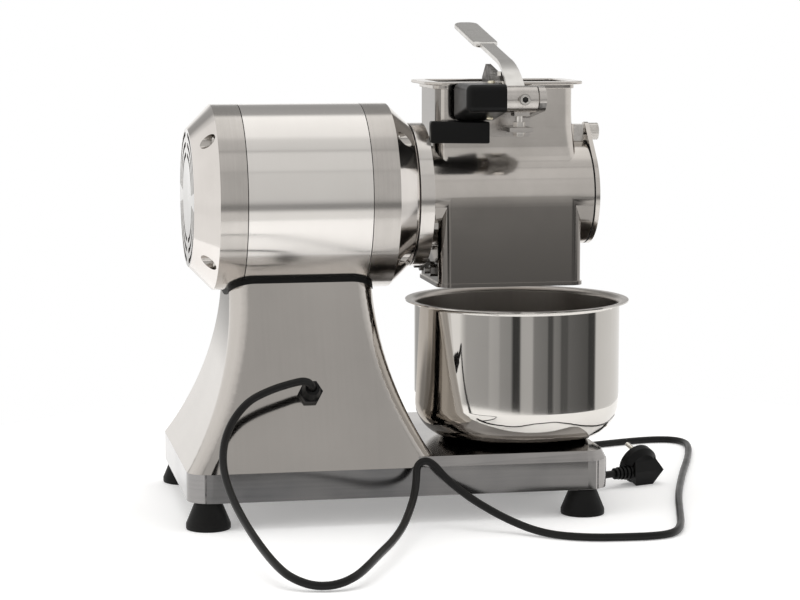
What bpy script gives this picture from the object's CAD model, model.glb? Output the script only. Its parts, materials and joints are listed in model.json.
import json
import math

import bmesh
import bpy
from mathutils import Matrix, Quaternion, Vector


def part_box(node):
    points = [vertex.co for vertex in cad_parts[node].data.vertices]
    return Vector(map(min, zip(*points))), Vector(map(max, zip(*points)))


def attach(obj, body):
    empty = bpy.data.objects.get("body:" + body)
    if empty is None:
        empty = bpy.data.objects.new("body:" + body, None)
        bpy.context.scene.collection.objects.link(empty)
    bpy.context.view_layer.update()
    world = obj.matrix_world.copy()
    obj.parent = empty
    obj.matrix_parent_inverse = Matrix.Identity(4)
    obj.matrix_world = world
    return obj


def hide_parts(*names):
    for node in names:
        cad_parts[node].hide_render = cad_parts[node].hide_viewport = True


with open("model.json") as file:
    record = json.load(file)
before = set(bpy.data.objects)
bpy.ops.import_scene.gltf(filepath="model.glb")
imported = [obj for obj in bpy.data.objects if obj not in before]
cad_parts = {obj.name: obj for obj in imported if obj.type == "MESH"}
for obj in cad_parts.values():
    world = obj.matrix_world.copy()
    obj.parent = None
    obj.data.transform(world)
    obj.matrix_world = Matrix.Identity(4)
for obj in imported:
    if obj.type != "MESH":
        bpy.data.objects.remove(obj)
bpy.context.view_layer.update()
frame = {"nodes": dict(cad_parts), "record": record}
nodes = frame["nodes"]
scene = bpy.context.scene
scene.view_settings.view_transform = "Standard"
mm = 0.001
record = frame["record"]
bodyOf = {node: body for body, members in record["behaviour"]["bodies"].items() for node in members}
print("frame loaded", len(nodes), "nodes")

# camera where the photograph was taken from
cameraLook = {"place": (-0.42401, -2.238584, 0.46884), "turn": (82.94, 0.0, -10.75), "lens": 110.2,
              "sensor": 36.0}


def addCamera(look):
    data = bpy.data.cameras.new("photoCamera")
    data.lens = look["lens"]
    data.sensor_width = look["sensor"]
    data.dof.use_dof = False
    camera = bpy.data.objects.new("photoCamera", data)
    camera.location = look["place"]
    camera.rotation_euler = [math.radians(angle) for angle in look["turn"]]
    scene.collection.objects.link(camera)
    scene.camera = camera


addCamera(cameraLook)
print("camera set")

# mains cord, its corners in the machine's own millimetres
cordRoute = {
    "shift": (21.025, -0.8222, 0.0),
    "radius": 3.45,
    "length": 1862.6,
    "sides": 6,
    "smoothness": 10,
    "points": [
        (-119.85, -101.34, 120.04), (-119.85, -112.26, 125.01),
        (-127, -118, 132), (-141.5, -124, 130.5), (-161.5, -128, 125.5), (-183, -134, 116.5),
        (-201, -146, 95.5), (-208.5, -166, 72), (-206, -196, 51), (-198, -236, 32.5), (-190, -290, 21),
        (-181.5, -333, 13.5), (-172, -349, 8.5), (-157, -357.5, 4.3), (-139, -359.5, 5.0),
        (-122, -351.5, 9.5), (-107, -328, 13.5), (-94, -300, 15), (-75.5, -260, 16), (-58.5, -216, 18),
        (-46, -182, 25), (-37.5, -159, 33), (-32.5, -143, 44), (-30.5, -134, 55), (-22.5, -132.5, 59.5),
        (-14.5, -133, 55), (-7, -138.5, 45.5), (2.5, -145, 36.5), (19, -161, 24.5),
        (47, -176, 9.5), (70.5, -202, 3.5), (101, -222.5, 3.5), (138, -227, 3.5), (164, -227, 3.5),
        (183, -218.5, 3.5), (197.5, -191, 3.5), (214.5, -131.5, 3.5), (236, -57, 3.5), (269.5, 38, 3.5),
        (296.5, 108, 3.5), (312, 152.5, 3.5), (320.5, 182, 3.5), (323, 202, 3.5), (316.5, 217.5, 3.5),
        (301, 224, 3.5), (276, 221, 3.5), (245.5, 211.5, 3.5), (198.5, 196, 3.5), (155.5, 179, 3.5),
        (113.5, 150, 3.5), (81.5, 112, 3.5), (65.5, 68, 3.5), (70.5, 24, 3.5), (93.5, -8, 5),
        (128, -20, 10), (160, -11.2, 13.5), (189.6, -0.1, 13.5)],
}


def addCord(route):
    shift = Vector(route["shift"])
    points = [(Vector(point) + shift) * mm for point in route["points"]]
    curve = bpy.data.curves.new("mainsCord", "CURVE")
    curve.dimensions = "3D"
    curve.bevel_depth = 1.0  # the points' radius gives the size
    curve.bevel_resolution = route["sides"]
    curve.resolution_u = route["smoothness"]
    curve.use_fill_caps = True
    spline = curve.splines.new("NURBS")
    spline.points.add(len(points) - 1)
    for spot, point in zip(spline.points, points):
        spot.co = (*point, 1.0)
        spot.radius = route["radius"] * mm
    spline.order_u = 3
    spline.use_endpoint_u = True
    cord = bpy.data.objects.new("mainsCord", curve)
    scene.collection.objects.link(cord)
    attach(cord, bodyOf["power_cord"])
    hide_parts("power_cord")
    return cord, points[0]


mainsCord, cordExit = addCord(cordRoute)
print("cord laid")


# finishes: one noise for blotches, one stretched noise for grain, and what most of them share
usualFinish = {"metal": 1.0, "shine": 0.5, "coat": 0.0, "coatRough": 0.12, "brushTurn": 0.25,
               "blotchDetail": 4.0, "grainDetail": 3.0, "grainShare": 0.15, "toneEnds": (0.32, 0.68),
               "depth": 0.0002}


def addNoise(tree, coords, scale, detail):
    mapping = tree.nodes.new("ShaderNodeMapping")
    mapping.inputs["Scale"].default_value = scale
    noise = tree.nodes.new("ShaderNodeTexNoise")
    noise.inputs["Scale"].default_value = 1.0
    noise.inputs["Detail"].default_value = detail
    tree.links.new(coords.outputs["Object"], mapping.inputs["Vector"])
    tree.links.new(mapping.outputs["Vector"], noise.inputs["Vector"])
    return noise.outputs["Fac"]


def addRange(tree, value, low, high, start=0.3, end=0.7):
    spread = tree.nodes.new("ShaderNodeMapRange")
    spread.inputs["From Min"].default_value = start
    spread.inputs["From Max"].default_value = end
    spread.inputs["To Min"].default_value = low
    spread.inputs["To Max"].default_value = high
    tree.links.new(value, spread.inputs["Value"])
    return spread.outputs["Result"]


def addMath(tree, kind, first, second):
    node = tree.nodes.new("ShaderNodeMath")
    node.operation = kind
    for socket, value in zip(node.inputs, (first, second)):
        if isinstance(value, (int, float)):
            socket.default_value = value
        else:
            tree.links.new(value, socket)
    return node.outputs["Value"]


def splitAxes(tree, vector):
    split = tree.nodes.new("ShaderNodeSeparateXYZ")
    tree.links.new(vector, split.inputs["Vector"])
    return split.outputs


def scaleTone(tree, tone, factor):
    gain = tree.nodes.new("ShaderNodeVectorMath")
    gain.operation = "SCALE"
    tree.links.new(tone, gain.inputs["Vector"])
    tree.links.new(factor, gain.inputs["Scale"])
    return gain.outputs["Vector"]


def addFinish(name, look):
    look = {**usualFinish, **look}
    made = bpy.data.materials.new(name)
    made.use_nodes = True
    tree = made.node_tree
    shader = tree.nodes["Principled BSDF"]
    shader.inputs["Metallic"].default_value = look["metal"]
    shader.inputs["Specular IOR Level"].default_value = look["shine"]
    shader.inputs["Coat Weight"].default_value = look["coat"]
    shader.inputs["Coat Roughness"].default_value = look["coatRough"]
    if "brushed" in look:
        amount, axis = look["brushed"]
        shader.inputs["Anisotropic"].default_value = amount
        shader.inputs["Anisotropic Rotation"].default_value = look["brushTurn"]
        tangent = tree.nodes.new("ShaderNodeTangent")
        tangent.direction_type = "RADIAL"
        tangent.axis = axis
        tree.links.new(tangent.outputs["Tangent"], shader.inputs["Tangent"])
    coords = tree.nodes.new("ShaderNodeTexCoord")
    blotch = addNoise(tree, coords, (look["blotch"],) * 3, look["blotchDetail"])
    grain = addNoise(tree, coords, look["grain"], look["grainDetail"])
    blotchPart = addMath(tree, "MULTIPLY", blotch, 1 - look["grainShare"])
    grainPart = addMath(tree, "MULTIPLY", grain, look["grainShare"])
    mixed = addMath(tree, "ADD", blotchPart, grainPart)
    ramp = tree.nodes.new("ShaderNodeValToRGB")
    tones = (look["dull"], look["colour"])
    for element, place, colour in zip(ramp.color_ramp.elements, look["toneEnds"], tones):
        element.position = place
        element.color = (*colour, 1.0)
    tree.links.new(mixed, ramp.inputs["Fac"])
    tone = ramp.outputs["Color"]
    if "flank" in look:  # brighter on the two sides
        level, start, end = look["flank"]
        aside = addMath(tree, "ABSOLUTE", splitAxes(tree, coords.outputs["Normal"])["X"], 0.0)
        tone = scaleTone(tree, tone, addRange(tree, aside, 1.0, level, start, end))
    if "fade" in look:  # brighter towards a height
        level, start, end = look["fade"]
        height = splitAxes(tree, coords.outputs["Object"])["Z"]
        tone = scaleTone(tree, tone, addRange(tree, height, 1.0, level, start, end))
    tree.links.new(tone, shader.inputs["Base Color"])
    low, high = look["rough"]
    tree.links.new(addRange(tree, mixed, high, low), shader.inputs["Roughness"])
    bump = tree.nodes.new("ShaderNodeBump")
    bump.inputs["Strength"].default_value = look["bump"]
    bump.inputs["Distance"].default_value = look["depth"]
    tree.links.new(grain, bump.inputs["Height"])
    tree.links.new(bump.outputs["Normal"], shader.inputs["Normal"])
    return made


finishes = {
    "pedestalSteel": {"colour": (0.42, 0.397, 0.374), "dull": (0.37, 0.35, 0.33), "rough": (0.07, 0.11),
                      "blotch": 9.0, "grain": (420.0, 8.0, 8.0), "bump": 0.015, "flank": (1.5, 0.25, 0.65)},
    "skirtFront": {"colour": (0.18, 0.174, 0.169), "dull": (0.095, 0.095, 0.098), "rough": (0.1, 0.16),
                   "blotch": 9.0, "grain": (10.0, 10.0, 500.0), "bump": 0.02},
    "skirtSteel": {"colour": (0.36, 0.345, 0.335), "dull": (0.19, 0.19, 0.195), "rough": (0.1, 0.16),
                   "blotch": 9.0, "grain": (10.0, 10.0, 500.0), "bump": 0.02},
    "casingSteel": {"colour": (0.62, 0.585, 0.55), "dull": (0.54, 0.51, 0.475), "rough": (0.12, 0.18),
                    "blotch": 26.0, "grain": (9.0, 9.0, 480.0), "bump": 0.02},
    "chuteSteel": {"colour": (0.31, 0.29, 0.27), "dull": (0.262, 0.245, 0.228), "rough": (0.08, 0.13),
                   "blotch": 26.0, "grain": (9.0, 9.0, 480.0), "bump": 0.02, "fade": (2.0, 0.276, 0.288)},
    "neckSide": {"colour": (0.25, 0.234, 0.218), "dull": (0.2, 0.187, 0.174), "rough": (0.07, 0.11),
                 "blotch": 26.0, "grain": (9.0, 9.0, 480.0), "bump": 0.02},
    "sleeveSteel": {"colour": (0.8, 0.772, 0.742), "dull": (0.75, 0.724, 0.694), "rough": (0.15, 0.2),
                    "blotch": 10.0, "grain": (700.0, 4.0, 4.0), "bump": 0.03, "brushed": (0.75, "X")},
    "bandSteel": {"colour": (0.59, 0.56, 0.53), "dull": (0.5, 0.475, 0.448), "rough": (0.14, 0.2),
                  "blotch": 30.0, "grain": (800.0, 6.0, 6.0), "grainShare": 0.3, "bump": 0.04,
                  "brushed": (0.6, "X")},
    "coneSteel": {"colour": (0.78, 0.745, 0.715), "dull": (0.71, 0.675, 0.645), "rough": (0.08, 0.14),
                  "blotch": 24.0, "grain": (300.0, 8.0, 8.0), "bump": 0.015},
    "faceSteel": {"colour": (0.95, 0.945, 0.94), "dull": (0.88, 0.875, 0.865), "rough": (0.25, 0.36),
                  "blotch": 30.0, "grain": (60.0, 300.0, 300.0), "bump": 0.02},
    "flangeSteel": {"colour": (0.7, 0.67, 0.64), "dull": (0.6, 0.572, 0.545), "rough": (0.12, 0.2),
                    "blotch": 30.0, "grain": (500.0, 8.0, 8.0), "bump": 0.03, "brushed": (0.5, "X")},
    "bowlSteel": {"colour": (0.72, 0.695, 0.66), "dull": (0.68, 0.655, 0.62), "rough": (0.03, 0.06),
                  "blotch": 14.0, "grain": (90.0, 90.0, 2.0), "bump": 0.02, "depth": 0.0003},
    "bowlInside": {"colour": (0.44, 0.41, 0.38), "dull": (0.35, 0.327, 0.302), "rough": (0.28, 0.38),
                   "blotch": 18.0, "grain": (220.0, 220.0, 6.0), "bump": 0.04},
    "leverSteel": {"colour": (0.76, 0.745, 0.72), "dull": (0.66, 0.645, 0.62), "rough": (0.26, 0.36),
                   "blotch": 70.0, "grain": (300.0, 40.0, 300.0), "bump": 0.04},
    "hubSteel": {"colour": (0.6, 0.57, 0.54), "dull": (0.5, 0.475, 0.45), "rough": (0.2, 0.3),
                 "blotch": 90.0, "grain": (600.0, 30.0, 30.0), "bump": 0.04},
    "brightFixing": {"colour": (0.76, 0.735, 0.7), "dull": (0.6, 0.575, 0.545), "rough": (0.14, 0.24),
                     "blotch": 200.0, "grain": (600.0, 600.0, 600.0), "bump": 0.04},
    "trimBrass": {"colour": (0.8, 0.75, 0.6), "dull": (0.64, 0.59, 0.45), "rough": (0.14, 0.24),
                  "blotch": 200.0, "grain": (600.0, 600.0, 600.0), "bump": 0.04},
    "darkFixing": {"colour": (0.26, 0.25, 0.24), "dull": (0.13, 0.125, 0.12), "rough": (0.24, 0.36),
                   "blotch": 200.0, "grain": (600.0, 600.0, 600.0), "bump": 0.06},
    "weldSteel": {"colour": (0.24, 0.23, 0.225), "dull": (0.1, 0.1, 0.1), "rough": (0.3, 0.5),
                  "blotch": 260.0, "grain": (700.0, 700.0, 700.0), "bump": 0.2, "depth": 0.0003},
    "darkBore": {"colour": (0.07, 0.068, 0.065), "dull": (0.03, 0.03, 0.03), "rough": (0.4, 0.55),
                 "blotch": 260.0, "grain": (700.0, 700.0, 700.0), "bump": 0.1},
    "plainSteel": {"colour": (0.56, 0.55, 0.54), "dull": (0.42, 0.41, 0.4), "rough": (0.25, 0.4),
                   "blotch": 40.0, "grain": (500.0, 30.0, 30.0), "bump": 0.08, "depth": 0.0003},
    "darkCasting": {"colour": (0.3, 0.285, 0.27), "dull": (0.1, 0.095, 0.09), "rough": (0.4, 0.6),
                    "blotch": 160.0, "grain": (420.0, 420.0, 420.0), "grainShare": 0.4, "bump": 0.5,
                    "depth": 0.0008},
    "stackedIron": {"colour": (0.3, 0.3, 0.31), "dull": (0.12, 0.12, 0.125), "rough": (0.4, 0.6),
                    "blotch": 30.0, "grain": (1600.0, 3.0, 3.0), "grainShare": 0.6, "bump": 0.5,
                    "depth": 0.0004},
    "copperWire": {"colour": (0.72, 0.33, 0.15), "dull": (0.42, 0.16, 0.06), "rough": (0.22, 0.4),
                   "blotch": 40.0, "grain": (900.0, 40.0, 40.0), "grainShare": 0.6, "bump": 0.6,
                   "depth": 0.0006},
    "dullRubber": {"metal": 0.0, "shine": 0.14, "colour": (0.008, 0.0078, 0.0075),
                   "dull": (0.005, 0.005, 0.005), "rough": (0.42, 0.58), "blotch": 50.0,
                   "grain": (900.0, 900.0, 900.0), "grainShare": 0.4, "bump": 0.2, "depth": 0.0003},
    "cordSheath": {"metal": 0.0, "shine": 0.2, "colour": (0.008, 0.0076, 0.0072),
                   "dull": (0.005, 0.0048, 0.0046), "rough": (0.28, 0.4), "blotch": 45.0,
                   "grain": (600.0, 600.0, 600.0), "grainShare": 0.4, "bump": 0.1, "depth": 0.0003},
    "blackPlastic": {"metal": 0.0, "shine": 0.15, "colour": (0.006, 0.006, 0.006),
                     "dull": (0.004, 0.004, 0.004), "rough": (0.26, 0.38), "blotch": 40.0,
                     "grain": (1100.0, 1100.0, 1100.0), "grainShare": 0.4, "bump": 0.14},
    "palePlastic": {"metal": 0.0, "colour": (0.72, 0.7, 0.65), "dull": (0.64, 0.62, 0.57),
                    "rough": (0.35, 0.48), "blotch": 40.0, "grain": (900.0, 900.0, 900.0), "bump": 0.1},
    "greenPlastic": {"metal": 0.0, "coat": 0.6, "colour": (0.03, 0.36, 0.1), "dull": (0.02, 0.28, 0.07),
                     "rough": (0.22, 0.3), "blotch": 60.0, "grain": (900.0, 900.0, 900.0), "bump": 0.04},
    "redPlastic": {"metal": 0.0, "coat": 0.6, "colour": (0.55, 0.03, 0.022), "dull": (0.44, 0.022, 0.016),
                   "rough": (0.22, 0.3), "blotch": 60.0, "grain": (900.0, 900.0, 900.0), "bump": 0.04},
    "pinMetal": {"colour": (0.8, 0.77, 0.7), "dull": (0.66, 0.63, 0.56), "rough": (0.12, 0.22),
                 "blotch": 120.0, "grain": (500.0, 500.0, 500.0), "bump": 0.03},
}
finish = {name: addFinish(name, look) for name, look in finishes.items()}
mainsCord.data.materials.append(finish["cordSheath"])
print("finishes made", len(finish))


# mesh helpers: doubles merge within metres, flat faces join within degrees
cleaning = {"merge": 2e-6, "flat": 0.6}


def copyNode(name):
    bm = bmesh.new()
    bm.from_mesh(nodes[name].data)
    bmesh.ops.remove_doubles(bm, verts=bm.verts, dist=cleaning["merge"])
    bmesh.ops.dissolve_limit(bm, angle_limit=math.radians(cleaning["flat"]), verts=bm.verts, edges=bm.edges)
    return bm


def softenEdges(bm, width, segments, angle=28.0):
    limit = math.radians(angle)
    sharp = [edge for edge in bm.edges if edge.is_manifold and edge.calc_face_angle() > limit]
    bmesh.ops.bevel(bm, geom=sharp, offset=width, affect="EDGES", segments=segments, profile=0.5,
                    material=-1, clamp_overlap=True)


def addMesh(name, bm, finishNames, smooth=35.0):
    mesh = bpy.data.meshes.new(name)
    bm.to_mesh(mesh)
    bm.free()
    mesh.polygons.foreach_set("use_smooth", [True] * len(mesh.polygons))
    mesh.set_sharp_from_angle(angle=math.radians(smooth))
    for finishName in finishNames:
        mesh.materials.append(finish[finishName])
    piece = bpy.data.objects.new(name, mesh)
    scene.collection.objects.link(piece)
    return piece


def addPiece(name, bm, finishNames, node):
    piece = addMesh(name, bm, finishNames)
    flat = piece.modifiers.new("flatFaces", "WEIGHTED_NORMAL")
    flat.keep_sharp = True
    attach(piece, bodyOf[node])
    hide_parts(node)
    return piece


def camel(name):
    first, *rest = name.split("_")
    return first + "".join(word.capitalize() for word in rest)


# pieces that keep the solid's form and get softened edges: finish and edge width in millimetres
dressed = {
    "base_shell": ("skirtSteel", 0.6), "pedestal": ("pedestalSteel", 0.5),
    "motor_sleeve": ("sleeveSteel", 0.8), "rear_cover": ("bandSteel", 0.8),
    "front_cover": ("bandSteel", 0.8), "casing_flange": ("flangeSteel", 0.6),
    "grater_casing": ("casingSteel", 0.5), "hopper_rim": ("casingSteel", 0.7), "lid": ("casingSteel", 0.7),
    "hinge_bracket": ("hubSteel", 0.5), "lever_hub": ("hubSteel", 0.7), "lever_arm": ("leverSteel", 2.2),
    "presser": ("darkCasting", 0.8), "switch_plate": ("casingSteel", 0.4), "bowl": ("bowlSteel", 0.3),
    "outlet_guard": ("casingSteel", 0.4), "foot_screws": ("brightFixing", 0.4),
    "rear_cover_screws": ("brightFixing", 0.4), "front_cover_screws": ("brightFixing", 0.4),
    "flange_bolts": ("brightFixing", 0.5), "guard_bolts": ("darkFixing", 0.4),
    "lid_stud": ("brightFixing", 0.5), "lid_knob": ("brightFixing", 0.3),
    "stop_screw": ("brightFixing", 0.4), "stop_nut": ("brightFixing", 0.4),
    "hub_screw": ("brightFixing", 0.4), "presser_bolts": ("brightFixing", 0.5),
    "drum_nut": ("brightFixing", 0.6), "grating_drum": ("plainSteel", 0.4),
    "hinge_shaft": ("brightFixing", 0.5), "rubber_feet": ("dullRubber", 1.2),
    "saddle_mat": ("dullRubber", 1.0), "lid_gasket": ("dullRubber", 0.3),
    "switch_box": ("blackPlastic", 0.6), "wiring_duct": ("blackPlastic", 1.5),
    "cable_gland": ("blackPlastic", 0.7), "plug_body": ("blackPlastic", 1.4),
    "plug_pins": ("pinMetal", 0.6), "start_button": ("greenPlastic", 1.0),
    "stop_button": ("redPlastic", 1.0), "cooling_fan": ("blackPlastic", 0.4),
    "bottom_plate": ("plainSteel", 0.3),
}
edgeSegments = {"usual": 2, "lever_arm": 4}
coneFaces = {"steepest": 0.9, "flattest": 0.4}
coverSeams = {"rear_cover": -0.7, "front_cover": 0.7}  # drawn back from the sleeve, millimetres
screwSlot = {"width": 2.4, "rim": 0.5, "depth": 1.4, "draft": 0.02, "turn": 37.0,
             "facing": 0.99, "level": 0.1, "nodes": {"rear_cover_screws": -1, "front_cover_screws": 1}}
hubSocket = {"radius": 3.2, "mouth": 0.1, "rim": 0.88, "headEdge": 0.98,
             "knurls": 36, "knurlWidth": 0.55, "knurlHeight": 0.3, "knurlInset": 0.6}


# the covers' cones are polished and the rear face is bright
def paintCover(bm):
    for face in bm.faces:
        lean = abs(face.normal.x)
        if lean > coneFaces["steepest"]:
            face.material_index = 2
        elif lean > coneFaces["flattest"]:
            face.material_index = 1


# faces with a finish of their own, told by how they face and by a height in millimetres
facing = {"bowlFloor": 0.9, "bracketUnder": -0.3, "chuteTop": 284.0, "chuteUpright": 0.5, "neckLeft": -0.6,
          "skirtFront": -0.95}
bowlLow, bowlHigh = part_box("bowl")
bowlMiddle = (bowlLow + bowlHigh) / 2


def insideBowl(spot, normal):
    return (spot - bowlMiddle).xy.dot(normal.xy) < 0.0 or normal.z > facing["bowlFloor"]


def underBracket(spot, normal):
    return normal.z < facing["bracketUnder"]


def onChute(spot, normal):
    return spot.z < facing["chuteTop"] * mm and abs(normal.z) < facing["chuteUpright"]


def onNeckSide(spot, normal):
    return normal.x < facing["neckLeft"]


def onSkirtFront(spot, normal):
    return normal.y < facing["skirtFront"]


painted = {
    "bowl": {"bowlInside": insideBowl},
    "hinge_bracket": {"darkFixing": underBracket},
    "grater_casing": {"chuteSteel": onChute, "neckSide": onNeckSide},
    "base_shell": {"skirtFront": onSkirtFront},
}


def paintFaces(bm, rows):
    for index, chosen in enumerate(rows.values(), 1):
        for face in bm.faces:
            if chosen(face.calc_center_median(), face.normal):
                face.material_index = index


# a narrow groove shows where a cover meets the sleeve
def openSeam(bm, gap, level=1e-5):
    ends = [vert.co.x for vert in bm.verts]
    edge = max(ends) if gap < 0 else min(ends)
    rim = [vert for vert in bm.verts if abs(vert.co.x - edge) < level]
    bmesh.ops.translate(bm, vec=(gap * mm, 0.0, 0.0), verts=rim)


def cutSlot(bm, top, turn):
    middle, outward = top.calc_center_median(), top.normal.copy()
    across = outward.orthogonal().normalized()
    across.rotate(Quaternion(outward, turn))
    faces = [top]
    for side in (-0.5, 0.5):
        cut = set(faces)
        for face in faces:
            cut.update(face.edges, face.verts)
        split = bmesh.ops.bisect_plane(bm, geom=list(cut), dist=1e-7, plane_no=across,
                                       plane_co=middle + across * side * screwSlot["width"] * mm)
        faces = [item for item in split["geom"] if isinstance(item, bmesh.types.BMFace)]
    strip = min(faces, key=lambda face: (face.calc_center_median() - middle).length)
    bmesh.ops.inset_region(bm, faces=[strip], thickness=screwSlot["rim"] * mm, use_even_offset=True)
    bmesh.ops.inset_region(bm, faces=[strip], thickness=screwSlot["draft"] * mm,
                           depth=-screwSlot["depth"] * mm)


def slotHeads(bm, side):
    ends = [vert.co.x * side for vert in bm.verts]
    lowest = max(ends) - screwSlot["level"] * mm
    tops = [face for face in bm.faces if face.normal.x * side > screwSlot["facing"]
            and face.calc_center_median().x * side > lowest]
    for count, top in enumerate(tops):
        cutSlot(bm, top, math.radians(screwSlot["turn"] * count))


# the socket is dark inside, and fine ridges go round the head
def dressHubScrew(bm):
    low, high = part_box("hub_screw")
    axis = ((low[0] + high[0]) / 2, (low[2] + high[2]) / 2)
    radius = (high[0] - low[0]) / 2
    for face in bm.faces:
        spot = face.calc_center_median()
        apart = math.hypot(spot.x - axis[0], spot.z - axis[1])
        if apart < hubSocket["radius"] * mm and spot.y > low[1] + hubSocket["mouth"] * mm:
            face.material_index = 1
        elif apart > radius * hubSocket["rim"]:
            face.material_index = 2
    edge = radius * hubSocket["headEdge"]
    head = max(vert.co.y for vert in bm.verts
               if math.hypot(vert.co.x - axis[0], vert.co.z - axis[1]) > edge) - low[1]
    inset = hubSocket["knurlInset"] * mm
    size = (hubSocket["knurlWidth"] * mm, head - 2 * inset, hubSocket["knurlHeight"] * mm)
    ridge = bmesh.ops.create_cube(bm, size=1.0)["verts"]
    bmesh.ops.scale(bm, vec=size, verts=ridge)
    bmesh.ops.translate(bm, vec=(axis[0], low[1] + head / 2, axis[1] + radius), verts=ridge)
    shape = set(ridge)
    for vert in ridge:
        shape.update(vert.link_edges, vert.link_faces)
    steps = hubSocket["knurls"] - 1
    bmesh.ops.spin(bm, geom=list(shape), cent=(axis[0], 0.0, axis[1]), axis=(0.0, 1.0, 0.0), steps=steps,
                   angle=2 * math.pi * steps / hubSocket["knurls"], use_duplicate=True)


for node, (finishName, edge) in dressed.items():
    shape = copyNode(node)
    names = (finishName,)
    if node in coverSeams:
        openSeam(shape, coverSeams[node])
    softenEdges(shape, edge * mm, segments=edgeSegments.get(node, edgeSegments["usual"]))
    if node in coverSeams:
        paintCover(shape)
        names = (finishName, "coneSteel", "faceSteel")
    if node in painted:
        names = (finishName, *painted[node])
        paintFaces(shape, painted[node])
    if node in screwSlot["nodes"]:
        slotHeads(shape, screwSlot["nodes"][node])
    if node == "hub_screw":
        dressHubScrew(shape)
        names = (finishName, "darkBore", "darkFixing")
    addPiece(camel(node), shape, names, node)


# small pieces that the solids leave out ride beside the node that carries them
def addTrim(name, bm, finishName, carrier, **shading):
    piece = addMesh(name, bm, (finishName,), **shading)
    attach(piece, bodyOf[carrier])


# raised teeth in staggered rows round the drum
teeth = {"pitch": 6.0, "around": 40, "sides": 4, "width": 2.6, "tip": 0.5, "height": 0.8,
         "proud": 0.45, "edge": 4.0}


def addTeeth(look):
    low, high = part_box("grating_drum")
    middle = Vector((low[0] + look["edge"] * mm, (low[1] + high[1]) / 2, (low[2] + high[2]) / 2))
    radius = (high[2] - low[2]) / 2
    rows = int((high[0] - low[0] - 2 * look["edge"] * mm) / (look["pitch"] * mm)) + 1
    bm = bmesh.new()
    seat = Matrix.Translation(middle + Vector((0.0, 0.0, radius + look["height"] * mm * look["proud"])))
    bmesh.ops.create_cone(bm, cap_ends=True, segments=look["sides"], radius1=look["width"] / 2 * mm,
                          radius2=look["tip"] / 2 * mm, depth=look["height"] * mm, matrix=seat)
    steps = look["around"] - 1
    bmesh.ops.spin(bm, geom=bm.verts[:] + bm.edges[:] + bm.faces[:], cent=middle, axis=(1.0, 0.0, 0.0),
                   steps=steps, angle=2 * math.pi * steps / look["around"], use_duplicate=True)
    ring = bm.verts[:] + bm.edges[:] + bm.faces[:]
    for row in range(1, rows):
        copied = bmesh.ops.duplicate(bm, geom=ring)["geom"]
        moved = [item for item in copied if isinstance(item, bmesh.types.BMVert)]
        stagger = Matrix.Rotation(math.pi / look["around"] * (row % 2), 3, "X")
        bmesh.ops.rotate(bm, cent=middle, matrix=stagger, verts=moved)
        bmesh.ops.translate(bm, vec=(look["pitch"] * mm * row, 0.0, 0.0), verts=moved)
    addTrim("drumTeeth", bm, "plainSteel", "grating_drum", smooth=20.0)


# two screws close the switch box: place in machine millimetres and outward direction
boxScrews = {"radius": 3.3, "height": 2.2, "round": 0.8, "sides": 24, "offAxis": 10.0,
             "spots": (((53.0, -60.0, 391.0), (0.0, 0.0, 1.0)), ((50.0, -66.0, 360.0), (0.0, -0.19, -0.98)))}


def addBoxScrews(look):
    bm = bmesh.new()
    for count, (spot, outward) in enumerate(look["spots"]):
        place = (Vector(spot) + Vector(cordRoute["shift"])) * mm
        outward = Vector(outward)
        turn = outward.to_track_quat("Z", "Y").to_matrix().to_4x4()
        seat = Matrix.Translation(place) @ turn @ Matrix.Translation((0.0, 0.0, look["height"] / 2 * mm))
        made = bmesh.ops.create_cone(bm, cap_ends=True, segments=look["sides"], matrix=seat,
                                     radius1=look["radius"] * mm, radius2=look["radius"] * mm,
                                     depth=look["height"] * mm)
        middle = look["height"] / 2 * mm
        rim = {edge for vert in made["verts"] for edge in vert.link_edges
               if all((end.co - place).dot(outward) > middle for end in edge.verts)}
        bmesh.ops.bevel(bm, geom=list(rim), offset=look["round"] * mm, affect="EDGES", segments=3,
                        profile=0.5, material=-1, clamp_overlap=True)

        def nearTop(face):
            away = face.calc_center_median() - place
            return away.dot(outward) - look["offAxis"] * away.cross(outward).length

        cutSlot(bm, max(bm.faces, key=nearTop), math.radians(screwSlot["turn"] * count))
    addTrim("boxScrews", bm, "trimBrass", "stop_screw")


# weld beads close the folded corners of the base skirt: angle round the corner, in degrees
cornerWelds = {"corner": 22.0, "height": 26.0, "angles": {"left": 252.0, "right": 297.0},
               "beads": 11, "bead": 0.9, "flat": 0.5, "overlap": 0.62}


def addCornerWelds(look):
    low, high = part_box("base_shell")
    corner = look["corner"] * mm
    rise = look["height"] * mm / look["beads"]
    bm = bmesh.new()
    for side, angle in look["angles"].items():
        middle = low[0] + corner if side == "left" else high[0] - corner
        outward = Vector((math.cos(math.radians(angle)), math.sin(math.radians(angle)), 0.0))
        foot = Vector((middle, low[1] + corner, low[2])) + outward * corner
        turn = outward.to_track_quat("Z", "Y").to_matrix().to_4x4()
        for step in range(look["beads"]):
            seat = Matrix.Translation(foot + Vector((0.0, 0.0, rise * (step + 0.5)))) @ turn
            shape = Matrix.Diagonal((look["bead"] * mm, rise * look["overlap"],
                                     look["bead"] * look["flat"] * mm, 1.0))
            bmesh.ops.create_icosphere(bm, subdivisions=2, radius=1.0, matrix=seat @ shape)
    addTrim("cornerWelds", bm, "weldSteel", "base_shell", smooth=180.0)


addTeeth(teeth)
addBoxScrews(boxScrews)
addCornerWelds(cornerWelds)
print("trim added")

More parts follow.
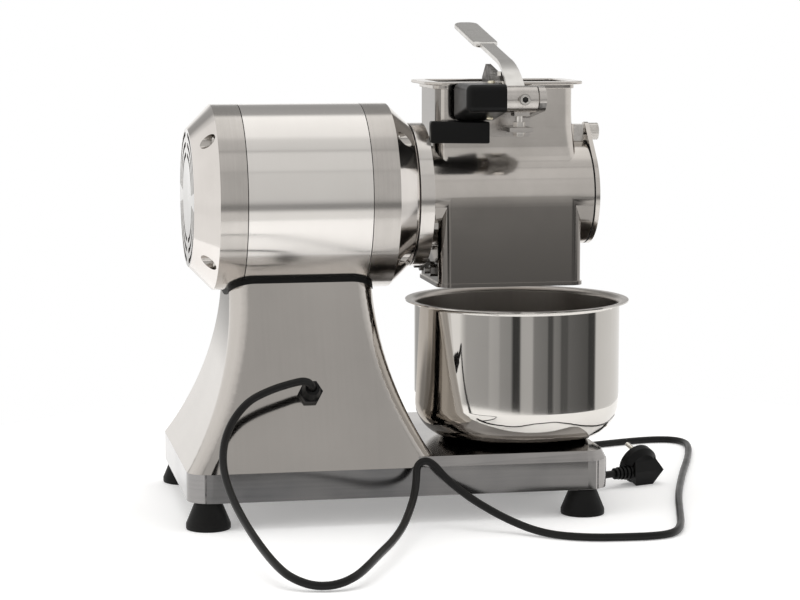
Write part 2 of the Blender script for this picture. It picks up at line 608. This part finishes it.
# inner pieces keep their solids and get a finish
inner = {
    "plainSteel": ("rear_bearing", "front_bearing", "drive_shaft", "switch_cam"),
    "brightFixing": ("foot_nuts", "saddle_bolts", "drum_key"),
    "darkCasting": ("rear_shield",),
    "stackedIron": ("stator_core", "rotor"),
    "copperWire": ("stator_windings",),
    "dullRubber": ("shaft_seal",),
    "blackPlastic": ("switch_block", "gland_nut", "microswitch"),
    "palePlastic": ("run_capacitor", "terminal_block"),
}
for finishName, members in inner.items():
    for node in members:
        nodes[node].data.materials.clear()
        nodes[node].data.materials.append(finish[finishName])
print("inner pieces finished")


# pale table top and a studio room by direction
stage = {"middle": (0.07, -0.02, 0.0), "radius": 0.64, "corners": 96, "colour": (0.92, 0.92, 0.92),
         "rough": 0.9, "shine": 0.1, "lift": 0.2}


def addFloor(look):
    bm = bmesh.new()
    bmesh.ops.create_circle(bm, cap_ends=True, segments=look["corners"], radius=look["radius"])
    bmesh.ops.translate(bm, vec=look["middle"], verts=bm.verts)
    mesh = bpy.data.meshes.new("paleFloor")
    bm.to_mesh(mesh)
    bm.free()
    floor = bpy.data.objects.new("paleFloor", mesh)
    scene.collection.objects.link(floor)
    paint = bpy.data.materials.new("floorPaint")
    paint.use_nodes = True
    tree = paint.node_tree
    shader = tree.nodes["Principled BSDF"]
    shader.inputs["Base Color"].default_value = (*look["colour"], 1.0)
    shader.inputs["Roughness"].default_value = look["rough"]
    shader.inputs["Specular IOR Level"].default_value = look["shine"]
    shader.inputs["Emission Color"].default_value = (1.0, 1.0, 1.0, 1.0)
    path = tree.nodes.new("ShaderNodeLightPath")
    seen = addMath(tree, "MAXIMUM", path.outputs["Is Camera Ray"], path.outputs["Is Glossy Ray"])
    seen = addMath(tree, "MAXIMUM", seen, path.outputs["Is Transmission Ray"])
    tree.links.new(addMath(tree, "MULTIPLY", seen, look["lift"]), shader.inputs["Emission Strength"])
    mesh.materials.append(paint)


# levels by angle in degrees: rise goes from the front over the top to the back, turn from front to right
room = {
    "rise": ((-40, 0.85), (-13, 0.9), (-11, 0.3), (-8.5, 0.34), (-5, 0.5), (0, 0.66), (15, 0.68),
             (33, 0.7), (34.4, 0.5), (36, 0.75), (60, 0.77), (61.6, 0.38), (63.5, 0.7), (78, 0.76),
             (84, 1.0), (110, 1.12), (121, 1.2), (126, 0.42), (150, 0.36), (163, 0.4), (170, 1.0),
             (200, 1.0)),
    "turn": ((-180, 0.7), (-170, 0.4), (-128, 0.4), (-118, 0.95), (-80, 0.92), (-75, 0.6), (-71, 0.44),
             (-45, 0.4), (-43, 0.48), (-33, 0.44), (-31, 0.34), (-19, 0.3), (-17.5, 0.05), (-10, 0.05),
             (-8, 0.5), (4, 0.5), (6, 0.24), (21, 0.2), (22.5, 0.08), (27, 0.08), (29, 0.24), (36, 0.2),
             (38, 0.1), (45, 0.1), (47, 0.15), (73, 0.1), (75, 0.05), (84, 0.06), (87, 0.7), (140, 0.85),
             (180, 0.95)),
    "bandBottom": (-0.26, -0.2), "bandTop": (-0.11, -0.075),
    "left": (0.42, 0.58), "right": (0.6, 0.88), "sideLevel": 0.95,
    "warmth": (1.0, 0.99, 0.975),
}


def addLevels(tree, angle, levels):
    low, high = levels[0][0], levels[-1][0]
    ramp = tree.nodes.new("ShaderNodeValToRGB")
    while len(ramp.color_ramp.elements) < len(levels):
        ramp.color_ramp.elements.new(1.0)
    for element, (place, level) in zip(ramp.color_ramp.elements, levels):
        element.position = (place - low) / (high - low)
        element.color = (level, level, level, 1.0)
    degrees = addMath(tree, "MULTIPLY", angle, 180 / math.pi)
    tree.links.new(addRange(tree, degrees, 0.0, 1.0, low, high), ramp.inputs["Fac"])
    return ramp.outputs["Color"]


def addRoom(look):
    world = bpy.data.worlds.new("studioRoom")
    scene.world = world
    world.use_nodes = True
    tree = world.node_tree
    background = tree.nodes["Background"]
    coords = tree.nodes.new("ShaderNodeTexCoord")
    axes = splitAxes(tree, coords.outputs["Generated"])
    across, height = axes["X"], axes["Z"]
    toFront = addMath(tree, "MULTIPLY", axes["Y"], -1.0)

    def blend(share, first, second):
        toSecond = addMath(tree, "MULTIPLY", share, second)
        rest = addMath(tree, "SUBTRACT", 1.0, share)
        return addMath(tree, "ADD", toSecond, addMath(tree, "MULTIPLY", rest, first))

    # angles under the horizon at the back count on from the top
    rise = addMath(tree, "ARCTAN2", height, toFront)
    wrapped = addMath(tree, "LESS_THAN", rise, math.radians(-90))
    rise = addMath(tree, "ADD", rise, addMath(tree, "MULTIPLY", wrapped, 2 * math.pi))
    level = addLevels(tree, rise, look["rise"])
    toLeft = addMath(tree, "MULTIPLY", across, -1.0)
    sides = addMath(tree, "ADD", addRange(tree, toLeft, 0.0, 1.0, *look["left"]),
                    addRange(tree, across, 0.0, 1.0, *look["right"]))
    level = blend(sides, level, look["sideLevel"])
    around = addLevels(tree, addMath(tree, "ARCTAN2", across, toFront), look["turn"])
    over = addRange(tree, height, 0.0, 1.0, *look["bandBottom"])
    under = addRange(tree, height, 1.0, 0.0, *look["bandTop"])
    level = blend(addMath(tree, "MULTIPLY", over, under), level, around)
    path = tree.nodes.new("ShaderNodeLightPath")
    seen = addMath(tree, "MAXIMUM", path.outputs["Is Camera Ray"], path.outputs["Is Transmission Ray"])
    tint = tree.nodes.new("ShaderNodeMix")
    tint.data_type = "RGBA"
    tint.inputs["A"].default_value = (*look["warmth"], 1.0)
    tint.inputs["B"].default_value = (1.0, 1.0, 1.0, 1.0)
    tree.links.new(seen, tint.inputs["Factor"])
    tree.links.new(tint.outputs["Result"], background.inputs["Color"])
    tree.links.new(blend(seen, level, 1.0), background.inputs["Strength"])


softboxes = {
    "overheadSoftbox": {"place": (0.0, 0.2, 1.8), "aim": (0.0, 0.0, 0.25), "size": (1.6, 1.2), "power": 9.0},
    "leftSoftbox": {"place": (-1.9, -0.6, 0.9), "aim": (0.0, 0.0, 0.25), "size": (1.2, 1.4), "power": 8.0},
}


def addSoftbox(name, look):
    data = bpy.data.lights.new(name, "AREA")
    data.shape = "RECTANGLE"
    data.size, data.size_y = look["size"]
    data.energy = look["power"]
    lamp = bpy.data.objects.new(name, data)
    lamp.location = look["place"]
    toward = Vector(look["aim"]) - Vector(look["place"])
    lamp.rotation_euler = toward.to_track_quat("-Z", "Y").to_euler()
    lamp.visible_glossy = False
    scene.collection.objects.link(lamp)


addFloor(stage)
addRoom(room)
for lampName, lampLook in softboxes.items():
    addSoftbox(lampName, lampLook)
print("stage set")
